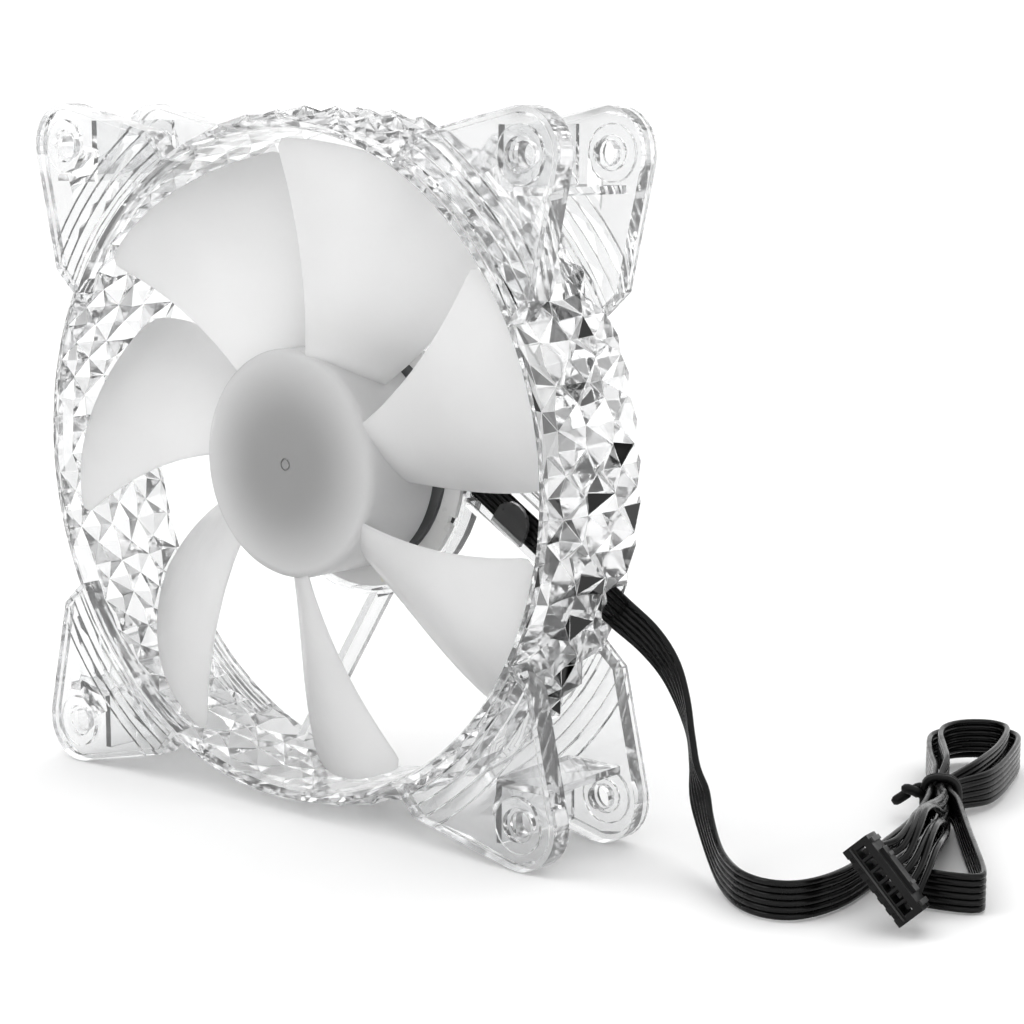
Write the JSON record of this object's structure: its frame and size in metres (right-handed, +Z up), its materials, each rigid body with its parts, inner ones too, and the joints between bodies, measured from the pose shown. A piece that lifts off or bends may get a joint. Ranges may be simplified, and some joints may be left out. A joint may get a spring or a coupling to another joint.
{
  "type": "case fan",
  "caption": "Square cooling fan for a computer case: clear faceted frame, frosted impeller on a motor, flat black lead tied in a hank, with a plug.",
  "frame": {"origin": "on the surface that the fan stands on, below the middle of its square frame, without the lead", "axes": "+Z up, Y along the fan's axis with the inlet and the hub's face towards -Y and the motor base towards +Y, +X to the right seen from the inlet"},
  "size_m": [0.1803, 0.11, 0.12],
  "materials": {
    "clear_plastic": "clear, polished, cut-crystal facets",
    "frosted_plastic": "frosted, milky, translucent",
    "steel": "plain",
    "ferrite": "bonded ferrite, dull",
    "brass": "turned",
    "bronze": "sintered, oiled",
    "nylon": "natural",
    "copper": "enamelled winding",
    "grey_board": "grey solder resist",
    "white_board": "white solder resist",
    "label": "blank, matt black",
    "chip": "moulded package",
    "ceramic": "fired ceramic",
    "led": "moulded lens",
    "lead_cover": "satin black",
    "tie_cover": "satin black",
    "plug_plastic": "moulded, satin black",
    "tin": "tin plated"
  },
  "bodies": {
    "frame_body": {"frame": "clear_plastic", "rear_label": "label", "led_board": "white_board", "led_1": "led", "led_2": "led", "led_3": "led", "led_4": "led", "circuit_board": "grey_board", "driver_chip": "chip", "hall_sensor": "chip", "capacitor": "ceramic", "bearing_sleeve": "bronze", "oil_seal_washer": "nylon", "retaining_clip": "nylon", "thrust_pad": "nylon", "stator_core": "steel", "insulator_front": "nylon", "insulator_rear": "nylon", "coil_1": "copper", "coil_2": "copper", "coil_3": "copper", "coil_4": "copper", "lead_in_strut": "lead_cover", "lead_free": "lead_cover", "hank_front": "lead_cover", "hank_rear": "lead_cover", "tie": "tie_cover", "plug_housing": "plug_plastic", "contact_1": "tin", "contact_2": "tin", "contact_3": "tin", "contact_4": "tin", "contact_5": "tin", "contact_6": "tin"},
    "rotor": {"impeller": "frosted_plastic", "rotor_cup": "steel", "shaft_bush": "brass", "shaft": "steel", "magnet_ring": "ferrite"}
  },
  "joints": [
    {"name": "rotor_spin", "type": "hinge", "parent": "frame_body", "child": "rotor", "pos_m": [0, 0, 0.06], "axis": [0, 1, 0], "continuous": true}
  ]
}
